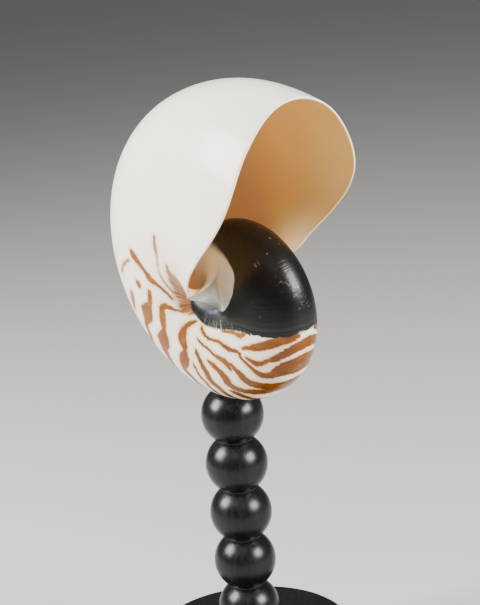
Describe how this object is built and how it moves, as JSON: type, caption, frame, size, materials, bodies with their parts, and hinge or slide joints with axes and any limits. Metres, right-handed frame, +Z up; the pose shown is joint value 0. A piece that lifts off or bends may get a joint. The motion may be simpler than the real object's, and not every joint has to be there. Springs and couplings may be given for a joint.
{
  "type": "nautilus shell on turned stand",
  "caption": "Whole chambered nautilus shell with an open body chamber and a dark film before its mouth, set on a slim column of turned black beads with a flat round base",
  "frame": {"origin": "middle of the base's flat underside, on the column's axis", "axes": "+Z up along the column's axis, -Y towards the side the object is looked at from, +X to the right of that side; the shell's mouth faces up, right and forward"},
  "size_m": [0.1183, 0.1382, 0.3087],
  "materials": {
    "shell": "glossy cream shell with orange-brown stripes, a black film before the mouth and a tan pearly inside; natural calcium carbonate",
    "column": "ebonised wood, satin",
    "base": "ebonised wood, satin"
  },
  "bodies": {
    "root": {"shell": "shell", "column": "column", "base": "base"}
  },
  "joints": []
}
